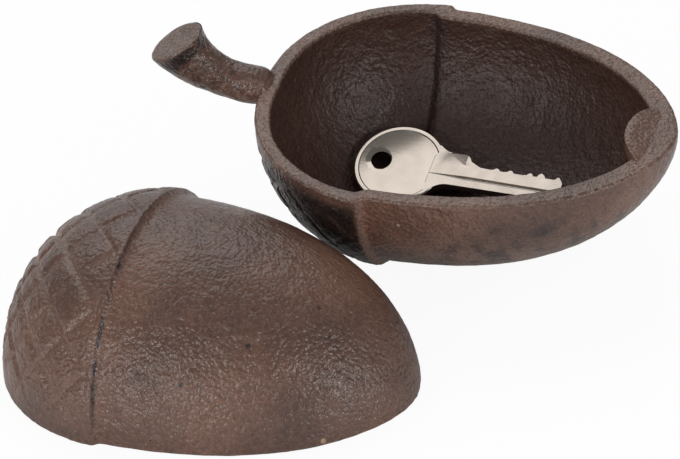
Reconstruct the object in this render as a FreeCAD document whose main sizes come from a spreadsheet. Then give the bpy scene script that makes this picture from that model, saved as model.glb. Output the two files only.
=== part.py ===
# Hide-a-key acorn: a hollow cast-iron acorn split along its length, and the house key that it hides.
# The base lies on its belly with the key in it. The lid lies beside it, dome up.
# Millimetres and degrees, +Z up. Each half is drawn on the acorn's own axis, +X from the cap's pole to the
# nut's tip, with the split in the plane Z = 0, and its placement then sets it down on the floor.
import FreeCAD, Part
import math
import os

import Sketcher
from FreeCAD import Placement, Rotation, Vector

X_AXIS = Vector(1, 0, 0)
Y_AXIS = Vector(0, 1, 0)
Z_AXIS = Vector(0, 0, 1)
ORIGIN = Vector(0, 0, 0)

doc = FreeCAD.newDocument("HideAKeyAcorn")

# ---------------------------------------------------------------- driving sizes
DRIVING_SIZES = (
    ("acornLength", 115, "cap pole to nut tip"),
    ("capLength", 39.2, "cap pole to the edge of the cap"),
    ("capRadius", 44.6, "acorn radius at the edge of the cap"),
    ("nutRadius", 42.9, "acorn radius at the foot of the step below the cap"),
    ("stepRun", 3, "length of the rounded step from cap to nut"),
    ("capFlat", 3, "radius of the flat at the cap's pole, under the stem"),
    ("tipFlat", 1, "radius of the flat at the nut's tip"),
    ("capShoulder", 0.723, "share of the cap's radius that its curve heads up from the pole"),
    ("capCrown", 0.32, "share of the cap's length that its curve runs level at the edge"),
    ("nutBelly", 0.83, "share of the nut's length that its curve runs level from the step"),
    ("nutShoulder", 0.175, "share of the nut's radius that its curve stands up at the tip"),
    ("wall", 4.4, "thickness of the casting"),
    ("stemRootRadius", 5, "stem radius where it crosses the rim"),
    ("stemEndRadius", 7.8, "stem radius at its cut end"),
    ("stemSetBack", 0.4, "ledge of rim left inside the stem's root"),
    ("stemRun", 7, "straight stretch of stem outside the cap"),
    ("stemBendRadius", 20, "radius of the stem's bend"),
    ("stemBendAngle", 60, "turn of the stem's bend, up from the axis"),
    ("stemFlare", 2.2, "how late along its bend the stem widens"),
    ("notchClearance", 0.5, "radial room for the stem in the lid's notch"),
    ("lugRadius", 14, "radius of the locating lug's curved inner face"),
    ("lugReach", 13.4, "how far the lug's inner face stands in from the tip"),
    ("lugRise", 2.4, "height of the lug above the rim"),
    ("lugDepth", 9, "depth of the lug's foot below the rim"),
    ("lugClearance", 0.6, "gap between the lug and the lid's inner wall"),
    ("basePitch", 3, "tilt of the lying base, tip end down"),
    ("baseRoll", 3.8, "tilt of the lying base, far side up"),
    ("lidBearing", 230.7, "direction from the base to the lid, seen from above"),
    ("lidYaw", -7.25, "turn of the lid about the upright, against the base"),
    ("lidGap", 2.75, "gap between the lid and the base beside it"),
    ("keyThickness", 2.3, "thickness of the key's stock"),
    ("keyBowRadius", 12.7, "radius of the key's round bow"),
    ("keyHoleRadius", 2.8, "radius of the hole for a key ring"),
    ("keyHoleOffset", 5.6, "hole centre from the bow's centre, away from the blade"),
    ("keyHoleRise", 0.8, "hole centre above the key's centre line"),
    ("keyRimWidth", 1.9, "width of the raised rim round the bow"),
    ("keyPanelDepth", 0.2, "depth of the bow's panels below the rim"),
    ("keyPanelReach", 8.9, "bow centre to the end of its panels at the neck"),
    ("keyReach", 46.3, "bow centre to the key's tip"),
    ("keyTipBevel", 2.6, "length of the slope under the key's tip"),
    ("keyTipRise", 2.4, "height of the slope under the key's tip"),
    ("keyTipDrop", 3, "upper corner of the tip under the uncut edge"),
    ("keyShoulderReach", 18.7, "bow centre to the stop shoulder"),
    ("keyShoulderHeight", 6.3, "stop shoulder's height over the key's centre line"),
    ("keyBladeTop", 3.9, "uncut bitted edge over the centre line"),
    ("keyBladeBottom", 3.85, "smooth edge below the centre line"),
    ("keyCutDepth", 1.1, "depth of the key's cuts"),
    ("keyNeckRound", 4.5, "fillet from the bow to the smooth edge"),
    ("keyGrooveWidth", 1.4, "width of the milled grooves"),
    ("keyGrooveDepth", 0.8, "depth of the milled grooves"),
    ("keyGrooveDrop", 1.2, "upper groove's middle below the centre line, and the under groove's above it"),
    ("keyRunOut", 7.6, "length of the point in which a milled groove runs out"),
    ("keyShelfEdge", 2.95, "lower side of the ledge milled along the bitted edge"),
    ("keyShelfDepth", 0.75, "depth of the ledge milled along the bitted edge"),
    ("keyStation", 34.3, "bow centre's place along the acorn"),
    ("keySwing", 17.7, "how far up the far side of the cavity the key lies"),
    ("keyYaw", -3, "turn of the key against the acorn's axis"),
    ("keySeatGap", 0.45, "gap between the key and the casting under it"),
)

sheet = doc.addObject("Spreadsheet::Sheet", "Sizes")
for row, (alias, number, meaning) in enumerate(DRIVING_SIZES, start=1):
    sheet.set(f"A{row}", meaning)
    sheet.set(f"B{row}", str(number))
    sheet.setAlias(f"B{row}", alias)
doc.recompute()


def size(alias):
    return float(sheet.get(alias))


# ---------------------------------------------------------------- the acorn's outline
def outlineCurves(inset):
    # Poles of the three curves from the cap's pole to the nut's tip, drawn in all round by an inset.
    # Cap and nut leave their poles square to the axis and are level where they meet the step between them.
    capEdge = size("capLength")
    nutStart = capEdge + size("stepRun")
    tip = size("acornLength") - inset
    crown = size("capRadius") - inset
    foot = size("nutRadius") - inset
    capFlat = size("capFlat")
    tipFlat = size("tipFlat")
    cap = (
        Vector(inset, capFlat, 0),
        Vector(inset, capFlat + size("capShoulder") * (crown - capFlat), 0),
        Vector(capEdge - size("capCrown") * (capEdge - inset), crown, 0),
        Vector(capEdge, crown, 0),
    )
    middle = (capEdge + nutStart) / 2
    step = (cap[3], Vector(middle, crown, 0), Vector(middle, foot, 0), Vector(nutStart, foot, 0))
    nut = (
        step[3],
        Vector(nutStart + size("nutBelly") * (tip - nutStart), foot, 0),
        Vector(tip, tipFlat + size("nutShoulder") * (foot - tipFlat), 0),
        Vector(tip, tipFlat, 0),
    )
    return cap, step, nut


def curvePoint(poles, share):
    rest = 1 - share
    weights = (rest**3, 3 * rest * rest * share, 3 * rest * share * share, share**3)
    point = Vector(0, 0, 0)
    for weight, pole in zip(weights, poles):
        point += pole * weight
    return point


def acornRadius(x, inset):
    # Radius of the outline at a station on the axis.
    for poles in outlineCurves(inset):
        if x <= poles[3].x:
            break
    low = 0
    high = 1
    for halving in range(24):
        share = (low + high) / 2
        if curvePoint(poles, share).x < x:
            low = share
        else:
            high = share
    return curvePoint(poles, low).y


def outlineFace(inset):
    # Face between the axis and the outline: the cap's dome, the step at its edge and the nut.
    curves = outlineCurves(inset)
    start = curves[0][0]
    end = curves[2][3]
    edges = [Part.makeLine(Vector(start.x, 0, 0), start)]
    for poles in curves:
        curve = Part.BezierCurve()
        curve.setPoles(list(poles))
        edges.append(curve.toShape())
    edges.append(Part.makeLine(end, Vector(end.x, 0, 0)))
    edges.append(Part.makeLine(Vector(end.x, 0, 0), Vector(start.x, 0, 0)))
    return Part.Face(Part.Wire(edges))


def profile(name, inset):
    feature = doc.addObject("Part::Feature", name)
    feature.Shape = outlineFace(inset)
    return feature


def revolved(name, source, axis, angle):
    turned = doc.addObject("Part::Revolution", name)
    turned.Source = source
    turned.Axis = axis
    turned.Base = ORIGIN
    turned.Angle = angle
    turned.Solid = True
    return turned


def boolean(kind, name, base, tool):
    result = doc.addObject(kind, name)
    result.Base = base
    result.Tool = tool
    return result


outline = profile("AcornOutline", 0)
cavityOutline = profile("CavityOutline", size("wall"))
cavity = revolved("Cavity", cavityOutline, X_AXIS, 360)


# ---------------------------------------------------------------- stem
def stemPoint(share):
    # Middle of the stem at a share of the bend's turn, and its direction there.
    turn = math.radians(size("stemBendAngle")) * share
    bend = size("stemBendRadius")
    middle = Vector(-size("stemRun") - bend * math.sin(turn), 0, bend * (1 - math.cos(turn)))
    return middle, turn


def stemSections():
    # Circles square to the stem, widening from the root to the cut end.
    sections = []
    along = [(Vector(size("wall") - size("stemSetBack"), 0, 0), 0, 0)]
    along.append((Vector(-size("stemRun") / 2, 0, 0), 0, 0))
    for step in range(5):
        middle, turn = stemPoint(step / 4)
        along.append((middle, turn, step / 4))
    for number, (middle, turn, share) in enumerate(along):
        circle = doc.addObject("Part::Circle", f"StemSection{number}")
        flare = f"(Sizes.stemEndRadius - Sizes.stemRootRadius) * {share} ^ Sizes.stemFlare"
        circle.setExpression("Radius", f"Sizes.stemRootRadius + {flare}")
        tilt = Rotation(Y_AXIS, math.degrees(turn) - 90)
        circle.Placement = Placement(middle, tilt)
        sections.append(circle)
    return sections


def makeStem():
    stem = doc.addObject("Part::Loft", "Stem")
    stem.Sections = stemSections()
    stem.Solid = True
    stem.Ruled = False
    return stem


# ---------------------------------------------------------------- locating lug
def makeLug():
    # A pad at the tip, round on its inner face. Above the rim it fits inside the lid with a gap all round.
    # Its foot below the rim runs into the wall.
    post = doc.addObject("Part::Cylinder", "LugPost")
    post.setExpression("Radius", "Sizes.lugRadius")
    post.setExpression("Height", "Sizes.lugRise + Sizes.lugDepth")
    post.setExpression("Placement.Base.x", "Sizes.acornLength - Sizes.lugReach + Sizes.lugRadius")
    post.setExpression("Placement.Base.z", "- Sizes.lugDepth")
    insideLid = revolved("InsideLid", profile("InsideLidOutline", size("wall") + size("lugClearance")), X_AXIS, 360)
    tongue = boolean("Part::Common", "LugTongue", post, insideLid)
    footPost = doc.addObject("Part::Cylinder", "LugFootPost")
    footPost.setExpression("Radius", "Sizes.lugRadius")
    footPost.setExpression("Height", "Sizes.lugDepth")
    footPost.setExpression("Placement.Base.x", "Sizes.acornLength - Sizes.lugReach + Sizes.lugRadius")
    footPost.setExpression("Placement.Base.z", "- Sizes.lugDepth")
    insideWall = revolved("InsideWall", profile("InsideWallOutline", size("wall") / 2), X_AXIS, 360)
    foot = boolean("Part::Common", "LugFoot", footPost, insideWall)
    return tongue, foot


# ---------------------------------------------------------------- the two castings
def makeBase():
    outside = revolved("BaseOutside", outline, -X_AXIS, 180)
    shell = boolean("Part::Cut", "BaseShell", outside, cavity)
    base = doc.addObject("Part::MultiFuse", "Base")
    base.Label = "base_half"
    base.Shapes = [shell, makeStem(), *makeLug()]
    return base


def makeLid():
    outside = revolved("LidOutside", outline, X_AXIS, 180)
    shell = boolean("Part::Cut", "LidShell", outside, cavity)
    notch = doc.addObject("Part::Cylinder", "StemNotch")
    notch.setExpression("Radius", "Sizes.stemRootRadius + Sizes.notchClearance")
    notch.setExpression("Height", "4 * Sizes.wall")
    notch.Placement = Placement(Vector(-2 * size("wall"), 0, 0), Rotation(Y_AXIS, 90))
    lid = boolean("Part::Cut", "Lid", shell, notch)
    lid.Label = "lid_half"
    return lid


# ---------------------------------------------------------------- house key
def originPlane(body, role):
    return next(plane for plane in body.Origin.OriginFeatures if plane.Role == role)


def newSketch(body, name, height="0"):
    sketch = body.newObject("Sketcher::SketchObject", name)
    sketch.AttachmentSupport = [(originPlane(body, "XY_Plane"), "")]
    sketch.MapMode = "FlatFace"
    sketch.setExpression("AttachmentOffset.Base.z", height)
    return sketch


def drawPolygon(sketch, corners):
    # Straight sides through corners. They start on a circle, and their bound distances put them in place.
    count = len(corners)
    starts = [Rotation(Z_AXIS, 360 * number / count).multVec(X_AXIS) for number in range(count)]
    for number in range(count):
        sketch.addGeometry(Part.LineSegment(starts[number], starts[(number + 1) % count]), False)
    for number in range(count):
        sketch.addConstraint(Sketcher.Constraint("Coincident", number, 2, (number + 1) % count, 1))
    for number, (across, up) in enumerate(corners):
        start = starts[number]
        for kind, value, expression in (("DistanceX", start.x, across), ("DistanceY", start.y, up)):
            index = sketch.addConstraint(Sketcher.Constraint(kind, -1, 1, number, 1, value))
            sketch.setExpression(f"Constraints[{index}]", expression)


def drawCircle(sketch, across, up, radius):
    sketch.addGeometry(Part.Circle(X_AXIS + Y_AXIS, Z_AXIS, 1), False)
    for kind, expression in (("DistanceX", across), ("DistanceY", up)):
        index = sketch.addConstraint(Sketcher.Constraint(kind, -1, 1, 0, 3, 1))
        sketch.setExpression(f"Constraints[{index}]", expression)
    index = sketch.addConstraint(Sketcher.Constraint("Radius", 0, 1))
    sketch.setExpression(f"Constraints[{index}]", radius)


def addPad(body, sketch, height):
    pad = body.newObject("PartDesign::Pad", sketch.Name + "Pad")
    pad.Profile = sketch
    pad.setExpression("Length", height)
    doc.recompute()
    return pad


def addPocket(body, sketch, depth, fromBelow=False):
    # Cuts down from the sketch's plane, or up from below. The volume says whether it bit.
    before = body.Shape.Volume
    pocket = body.newObject("PartDesign::Pocket", sketch.Name + "Pocket")
    pocket.Profile = sketch
    pocket.Reversed = fromBelow
    pocket.setExpression("Length", depth)
    doc.recompute()
    if body.Shape.Volume > before - 0.01:
        raise RuntimeError(f"{pocket.Name} cut nothing")
    return pocket


def uprightEdges(shape, chosen):
    # Names of the straight edges square to the key's faces whose middle passes the test.
    names = []
    for number, edge in enumerate(shape.Edges, start=1):
        along = edge.Vertexes[-1].Point - edge.Vertexes[0].Point
        if len(edge.Vertexes) == 2 and abs(along.z) > 0.99 * along.Length > 0 and chosen(edge.CenterOfMass):
            names.append(f"Edge{number}")
    return names


def bladeCorners():
    # Outline of blade and neck from the bow's middle: smooth edge, tip, bitted edge, stop shoulder.
    corners = [("Sizes.keyPanelReach", "-Sizes.keyBladeBottom")]
    corners.append(("Sizes.keyReach - Sizes.keyTipBevel", "-Sizes.keyBladeBottom"))
    corners.append(("Sizes.keyReach", "-Sizes.keyBladeBottom + Sizes.keyTipRise"))
    corners.append(("Sizes.keyReach", "Sizes.keyBladeTop - Sizes.keyTipDrop"))
    corners.append(("Sizes.keyReach - 1.4", "Sizes.keyBladeTop - 0.4"))
    run = "(Sizes.keyReach - 1.4 - Sizes.keyShoulderReach - 3.2)"
    for share, depth in BITTING:
        corners.append((f"Sizes.keyReach - 1.4 - {share} * {run}", f"Sizes.keyBladeTop - {depth} * Sizes.keyCutDepth"))
    corners.append(("Sizes.keyShoulderReach + 3.2", "Sizes.keyBladeTop - 0.6 * Sizes.keyCutDepth"))
    corners.append(("Sizes.keyShoulderReach + 0.4", "Sizes.keyBladeTop + 0.8"))
    corners.append(("Sizes.keyShoulderReach", "Sizes.keyShoulderHeight - 0.6"))
    corners.append(("Sizes.keyShoulderReach - 1.4", "Sizes.keyShoulderHeight"))
    corners.append(("Sizes.keyPanelReach", "Sizes.keyShoulderHeight"))
    return corners


# Cuts and peaks of the bitted edge from the tip inwards: share of its run, and share of the cut depth.
BITTING = (
    (0.05, 0.9), (0.12, 1), (0.19, 0.9), (0.24, 0), (0.29, 0.9), (0.33, 1), (0.38, 0.4),
    (0.43, 1), (0.57, 1), (0.63, 0.5), (0.69, 1), (0.75, 1), (0.8, 0.5), (0.86, 1), (0.94, 1),
)


def millAlong(body, name, height, start, low, high, depth, fromBelow=False):
    # A cut along the blade that runs out in a point towards the bow.
    sketch = newSketch(body, name, height)
    full = f"{start} + Sizes.keyRunOut"
    end = "Sizes.keyReach + 1"
    drawPolygon(sketch, [(start, f"({low} + {high}) / 2"), (full, low), (end, low), (end, high), (full, high)])
    return addPocket(body, sketch, depth, fromBelow)


def makeKey():
    body = doc.addObject("PartDesign::Body", "Key")
    body.Label = "house_key"
    bow = newSketch(body, "Bow")
    drawCircle(bow, "0", "0", "Sizes.keyBowRadius")
    addPad(body, bow, "Sizes.keyThickness")
    for name, height, fromBelow in (("UpperPanel", "Sizes.keyThickness", False), ("UnderPanel", "0", True)):
        panel = newSketch(body, name, height)
        drawCircle(panel, "0", "0", "Sizes.keyBowRadius - Sizes.keyRimWidth")
        addPocket(body, panel, "Sizes.keyPanelDepth", fromBelow)
    blade = newSketch(body, "Blade")
    drawPolygon(blade, bladeCorners())
    addPad(body, blade, "Sizes.keyThickness")
    bladed = body.Tip
    neck = body.newObject("PartDesign::Fillet", "NeckFillet")
    bowRadius = size("keyBowRadius")
    smooth = -size("keyBladeBottom")
    joint = math.sqrt(bowRadius**2 - smooth**2)
    near = uprightEdges(bladed.Shape, lambda middle: abs(middle.x - joint) < 0.1 and abs(middle.y - smooth) < 0.1)
    neck.Base = (bladed, near)
    neck.setExpression("Radius", "Sizes.keyNeckRound")
    doc.recompute()
    hole = newSketch(body, "RingHole", "Sizes.keyThickness")
    drawCircle(hole, "-Sizes.keyHoleOffset", "Sizes.keyHoleRise", "Sizes.keyHoleRadius")
    addPocket(body, hole, "Sizes.keyThickness")
    middle = "Sizes.keyGrooveDrop"
    half = "Sizes.keyGrooveWidth / 2"
    start = "Sizes.keyPanelReach + 2.7"
    depth = "Sizes.keyGrooveDepth"
    millAlong(body, "UpperGroove", "Sizes.keyThickness", start, f"-{middle} - {half}", f"-{middle} + {half}", depth)
    millAlong(body, "UnderGroove", "0", start, f"{middle} - {half}", f"{middle} + {half}", depth, True)
    start = "Sizes.keyPanelReach + 4"
    low = "Sizes.keyShelfEdge"
    millAlong(body, "Shelf", "Sizes.keyThickness", start, low, "Sizes.keyShoulderHeight + 1", "Sizes.keyShelfDepth")
    return body


# ---------------------------------------------------------------- placements
def basePlacement(height):
    middle = Vector(size("acornLength") / 2, 0, 0)
    tilt = Rotation(Y_AXIS, size("basePitch")) * Rotation(X_AXIS, size("baseRoll"))
    return Placement(middle + Vector(0, 0, height), tilt) * Placement(-middle, Rotation())


def restingHeight():
    # Height of the split's middle when the tilted belly of the base touches the floor.
    tilted = basePlacement(0)
    axis = tilted.Rotation.multVec(X_AXIS)
    slope = math.sqrt(1 - axis.z**2)
    length = size("acornLength")
    stations = [length * step / 400 for step in range(401)]
    return -min(tilted.multVec(Vector(x, 0, 0)).z - acornRadius(x, 0) * slope for x in stations)


def lidPlacement(distance):
    middle = Vector(size("acornLength") / 2, 0, 0)
    bearing = math.radians(size("lidBearing"))
    away = Vector(math.cos(bearing), math.sin(bearing), 0) * distance
    return Placement(middle + away, Rotation(Z_AXIS, size("lidYaw"))) * Placement(-middle, Rotation())


def lidIsClear(distance, base):
    # True if every point of the lid's outside stands off the base's outside by the gap.
    lid = lidPlacement(distance)
    toBase = base.inverse()
    gap = size("lidGap")
    length = size("acornLength")
    for step in range(1, 60):
        x = length * step / 60
        radius = acornRadius(x, 0)
        for turn in range(0, 181, 5):
            angle = math.radians(turn)
            point = toBase.multVec(lid.multVec(Vector(x, radius * math.cos(angle), radius * math.sin(angle))))
            if point.z > 0 or not 0 < point.x < length:
                continue
            if math.hypot(point.y, point.z) < acornRadius(point.x, 0) + gap:
                return False
    return True


def lidDistance(base):
    # Nearest that the lid lies to the base along its bearing.
    near = 0
    far = 2 * size("acornLength")
    while far - near > 0.01:
        middle = (near + far) / 2
        if lidIsClear(middle, base):
            far = middle
        else:
            near = middle
    return far


def keySeats():
    # Points of the key's underside that can touch the cavity: round the bow, and at the blade's tip.
    bow = size("keyBowRadius")
    turns = [math.radians(turn) for turn in range(0, 360, 5)]
    bowSeats = [Vector(bow * math.cos(turn), bow * math.sin(turn), 0) for turn in turns]
    reach = size("keyReach")
    upper = Vector(reach, size("keyBladeTop") - size("keyTipDrop"), 0)
    lower = Vector(reach - size("keyTipBevel"), -size("keyBladeBottom"), 0)
    tipSeats = [upper, lower]
    return bowSeats, tipSeats


def keyPlacement():
    # The key lies on the cavity's wall at its bow and its tip, swung up the far side.
    yaw = Rotation(Z_AXIS, size("keyYaw"))

    def lowest(seats, slope):
        # How far below the axis the key's plane lies at the bow's middle when these points touch.
        depths = []
        for seat in seats:
            turned = yaw.multVec(seat)
            radius = acornRadius(size("keyStation") + turned.x, size("wall"))
            depths.append(math.sqrt(radius**2 - turned.y**2) - slope * seat.x)
        return min(depths)

    bowSeats, tipSeats = keySeats()
    level = -0.5
    steep = 0.5
    while steep - level > 0.0001:
        slope = (level + steep) / 2
        if lowest(tipSeats, slope) > lowest(bowSeats, slope):
            level = slope
        else:
            steep = slope
    depth = lowest(bowSeats, slope) - size("keySeatGap")
    lying = Rotation(Z_AXIS, size("keyYaw")) * Rotation(Y_AXIS, math.degrees(math.atan(slope)))
    flat = Placement(Vector(size("keyStation"), 0, -depth), lying)
    return Placement(ORIGIN, Rotation(X_AXIS, size("keySwing"))) * flat


def centreOnFloor(pieces):
    # The row's origin is on the floor under the middle of its bounding box.
    box = FreeCAD.BoundBox()
    for piece in pieces:
        box.add(piece.Shape.optimalBoundingBox(False, False))
    middle = Vector(box.Center.x, box.Center.y, box.ZMin)
    for piece in pieces:
        piece.Placement = Placement(-middle, Rotation()) * piece.Placement


# ---------------------------------------------------------------- build, check and write
baseHalf = makeBase()
lidHalf = makeLid()
houseKey = makeKey()
doc.recompute()

baseHalf.Placement = basePlacement(restingHeight())
lidHalf.Placement = lidPlacement(lidDistance(baseHalf.Placement))
houseKey.Placement = baseHalf.Placement * keyPlacement()
subParts = (baseHalf, lidHalf, houseKey)
centreOnFloor(subParts)
doc.recompute()

for thing in doc.Objects:
    if "Invalid" in thing.State or "Error" in thing.State:
        raise RuntimeError(f"{thing.Label} did not build: {thing.State}")
for piece in subParts:
    if piece.Shape.isNull() or not piece.Shape.isValid():
        raise RuntimeError(f"{piece.Label} has no valid shape")

os.makedirs("parts", exist_ok=True)
for piece in subParts:
    piece.Shape.exportStep(f"parts/{piece.Label}.step")
    box = piece.Shape.optimalBoundingBox(False, False)
    print(piece.Label, len(piece.Shape.Solids), round(piece.Shape.Volume / 1000, 2), "cm3",
          [round(value, 2) for value in (box.XMin, box.XMax, box.YMin, box.YMax, box.ZMin, box.ZMax)])
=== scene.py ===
import math
from bisect import bisect_left

import bmesh
import bpy
from mathutils import Matrix, Vector, noise


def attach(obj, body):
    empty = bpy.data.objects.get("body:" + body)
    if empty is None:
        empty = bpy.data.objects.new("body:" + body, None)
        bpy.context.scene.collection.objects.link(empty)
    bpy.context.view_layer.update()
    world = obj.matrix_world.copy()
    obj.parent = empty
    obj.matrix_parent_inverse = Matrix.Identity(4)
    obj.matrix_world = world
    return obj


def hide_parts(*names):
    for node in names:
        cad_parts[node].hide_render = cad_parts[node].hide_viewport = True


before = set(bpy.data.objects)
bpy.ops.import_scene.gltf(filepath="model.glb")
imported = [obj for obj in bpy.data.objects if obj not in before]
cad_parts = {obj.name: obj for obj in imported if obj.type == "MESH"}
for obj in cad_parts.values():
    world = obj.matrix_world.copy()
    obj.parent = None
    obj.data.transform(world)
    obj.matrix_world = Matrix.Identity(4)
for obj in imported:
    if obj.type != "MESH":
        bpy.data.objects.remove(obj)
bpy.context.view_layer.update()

mm = 0.001
sameSpot = 1e-6  # in metres: points closer than this are one


def linearColour(code):
    # sRGB hex to the linear values that a shader takes
    channels = [int(code[i:i + 2], 16) / 255 for i in (1, 3, 5)]
    return (*[c / 12.92 if c <= 0.04045 else ((c + 0.055) / 1.055) ** 2.4 for c in channels], 1)


def addNode(tree, kind, inputs=None, **settings):
    # one node, with its settings, and its inputs either linked or set
    node = tree.nodes.new(kind)
    for name, value in settings.items():
        setattr(node, name, value)
    for key, value in (inputs or {}).items():
        if isinstance(value, bpy.types.NodeSocket):
            tree.links.new(value, node.inputs[key])
        else:
            node.inputs[key].default_value = value
    return node


def ease(value, low, high):
    # 0 below low, 1 above high, smooth between
    share = min(1.0, max(0.0, (value - low) / (high - low)))
    return share * share * (3 - 2 * share)


def band(value, rise, fall):
    # rises to 1 over one stretch and falls back over another
    return ease(value, *rise) * (1 - ease(value, *fall))


def bell(value, middle, half):
    return math.exp(-((value - middle) / half) ** 2)


def mottle(x, y, z, size):
    # soft lumps of about this size, from -1 to 1
    return noise.noise(Vector((x, y, z)) / size)


def clearSelection():
    if bpy.context.object and bpy.context.object.mode != "OBJECT":
        bpy.ops.object.mode_set(mode="OBJECT")
    bpy.ops.object.select_all(action="DESELECT")


def work(piece):
    # makes one piece the only one picked
    clearSelection()
    piece.select_set(True)
    bpy.context.view_layer.objects.active = piece


def editMode(kind="VERT"):
    bpy.ops.object.mode_set(mode="EDIT")
    bpy.ops.mesh.select_mode(type=kind)
    bpy.ops.mesh.select_all(action="DESELECT")


def objectMode():
    bpy.ops.object.mode_set(mode="OBJECT")


def selectAll():
    bpy.ops.mesh.select_all(action="SELECT")


def bakePlace():
    # leaves the object's place in its mesh
    bpy.ops.object.transform_apply(location=True, rotation=True, scale=True)


def pick(piece, kind, test):
    # selects the open mesh's verts, edges or faces that pass the test
    mesh = bmesh.from_edit_mesh(piece.data)
    elements = {"VERT": mesh.verts, "EDGE": mesh.edges, "FACE": mesh.faces}[kind]
    for element in elements:
        element.select = bool(test(element))
    mesh.select_flush_mode()
    bmesh.update_edit_mesh(piece.data)


def mergeDoubles(outward=False):
    # joins the open mesh's points that lie together, and turns its faces outwards
    selectAll()
    bpy.ops.mesh.remove_doubles(threshold=sameSpot)
    if outward:
        bpy.ops.mesh.normals_make_consistent(inside=False)


def joinAll(pieces):
    work(pieces[0])
    for piece in pieces:
        piece.select_set(True)
    bpy.ops.object.join()
    return bpy.context.object


def applyAll(piece):
    work(piece)
    for modifier in list(piece.modifiers):
        bpy.ops.object.modifier_apply(modifier=modifier.name)


def cutWith(piece, tool, operation="DIFFERENCE", solver="EXACT"):
    cutter = piece.modifiers.new("cut", "BOOLEAN")
    cutter.operation = operation
    cutter.solver = solver
    cutter.object = tool
    applyAll(piece)
    bpy.data.objects.remove(tool)


def roughen(piece, strength, grain):
    # the slow unevenness that a sand mould leaves, in mm
    clouds = bpy.data.textures.new("sandMould", "CLOUDS")
    clouds.noise_scale = grain * mm
    clouds.noise_depth = 1
    uneven = piece.modifiers.new("uneven", "DISPLACE")
    uneven.texture = clouds
    uneven.texture_coords = "LOCAL"
    uneven.mid_level = 0.5
    uneven.strength = strength * mm
    applyAll(piece)


def setDown(piece, place, name):
    # moves a finished piece to its place
    work(piece)
    piece.matrix_world = place
    bakePlace()
    piece.name = name
    piece.data.name = name


# the acorn along X from its cap's pole to its nut's tip, in mm and degrees. The curves' handles are shares.
acorn = {
    "length": 115, "wall": 4.4,
    "capLength": 39.2, "capRadius": 44.6, "capFlat": 3, "capShoulder": 0.723, "capCrown": 0.32,
    "nutRadius": 42.9, "nutBelly": 0.83, "nutShoulder": 0.175, "tipFlat": 1,
    "stepRun": 3, "stepLeave": 0.3, "stepLand": 0.35,
    # the cavity's step lies further back and is longer, and its tip is shorter
    "cavityBack": 2.4, "cavitySoft": 0.4, "cavityTip": 2,
    "capPoints": 112, "stepPoints": 14, "nutPoints": 64, "sectionPoints": 200,
    "outerTurns": 300, "innerTurns": 120,
    "rimStraight": 0.9,  # height of the plain band that the rim's edges are rounded from
    "rimRound": 0.75, "rimCuts": 3, "rimSegments": 4,
    "unevenness": 0.22, "unevenSize": 13, "ripple": 0.24, "rippleSize": 1.7,
    "lidLean": -1.7, "baseLean": 2, "leanReach": 14,  # how the cap's edge leans, fading over this length
}


def outlineCurves(inset):
    # the cap, the step down to the nut and the nut, as four poles each, for the outside or the cavity
    deep = min(1, inset / acorn["wall"])
    edge = acorn["capLength"] - acorn["cavityBack"] * deep
    start = edge + acorn["stepRun"] * (1 + acorn["cavitySoft"] * deep)
    tip = acorn["length"] - inset - acorn["cavityTip"] * deep
    crown, foot = acorn["capRadius"] - inset, acorn["nutRadius"] - inset
    flat, tipFlat = acorn["capFlat"], acorn["tipFlat"]
    cap = ((inset, flat), (inset, flat + acorn["capShoulder"] * (crown - flat)),
           (edge - acorn["capCrown"] * (edge - inset), crown), (edge, crown))
    step = (cap[3], (edge + acorn["stepLeave"] * (start - edge), crown),
            (edge + acorn["stepLand"] * (start - edge), foot), (start, foot))
    nut = (step[3], (start + acorn["nutBelly"] * (tip - start), foot),
           (tip, tipFlat + acorn["nutShoulder"] * (foot - tipFlat)), (tip, tipFlat))
    return cap, step, nut


def pointsAlong(poles, steps):
    # points of one curve at even shares of its run
    one, two, three, four = (Vector(pole) for pole in poles)
    points = []
    for step in range(steps + 1):
        t = step / steps
        u = 1 - t
        points.append(one * u**3 + two * 3 * u * u * t + three * 3 * u * t * t + four * t**3)
    return points


def drawOutline(inset):
    # three curves and the two flats at the poles, as one line of edges
    counts = (acorn["capPoints"], acorn["stepPoints"], acorn["nutPoints"])
    strips = []
    for poles, count in zip(outlineCurves(inset), counts):
        clearSelection()
        bpy.ops.curve.primitive_bezier_curve_add(location=(0, 0, 0))
        curve = bpy.context.object
        curve.data.resolution_u = count
        start, end = curve.data.splines[0].bezier_points
        points = [Vector((x, y, 0)) * mm for x, y in poles]
        for knot in (start, end):
            knot.handle_left_type = knot.handle_right_type = "FREE"
        start.co, start.handle_right, start.handle_left = points[0], points[1], points[0]
        end.co, end.handle_left, end.handle_right = points[3], points[2], points[3]
        bpy.ops.object.convert(target="MESH")
        strips.append(bpy.context.object)
    outline = joinAll(strips)
    editMode()
    mergeDoubles()
    tip = outlineCurves(inset)[2][3][0]
    for x, radius in ((inset, acorn["capFlat"]), (tip, acorn["tipFlat"])):
        pick(outline, "VERT", lambda v: (v.co - Vector((x, radius, 0)) * mm).length < sameSpot)
        bpy.ops.mesh.extrude_region_move(TRANSFORM_OT_translate={"value": (0, -radius * mm, 0)})
    objectMode()
    return outline


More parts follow.
